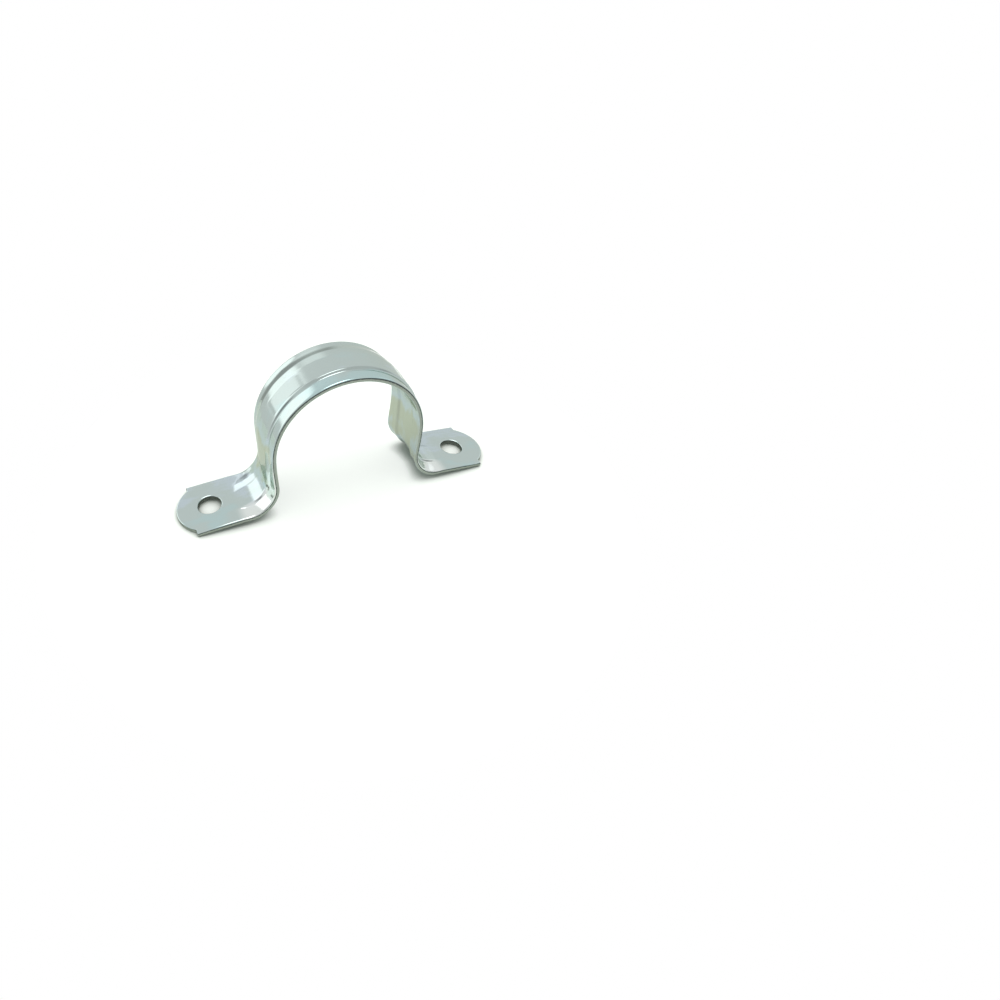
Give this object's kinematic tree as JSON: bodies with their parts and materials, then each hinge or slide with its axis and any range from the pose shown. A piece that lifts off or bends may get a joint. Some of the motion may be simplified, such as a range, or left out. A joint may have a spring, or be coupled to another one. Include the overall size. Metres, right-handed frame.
{
  "type": "conduit strap",
  "caption": "Arched sheet-steel strap with a pressed stiffening rib and outward feet, each with a screw hole and a rounded end, that clamps a rigid conduit to a wall.",
  "frame": {"origin": "centre of the strap's footprint, on the wall plane that the tips of both feet touch", "axes": "+X from foot to foot, +Y along the conduit, +Z away from the wall"},
  "size_m": [0.1128, 0.0222, 0.0503],
  "materials": {
    "zinc_plate": "bright zinc plate with a bluish cast"
  },
  "bodies": {
    "root": {"strap": "zinc_plate"}
  },
  "joints": []
}
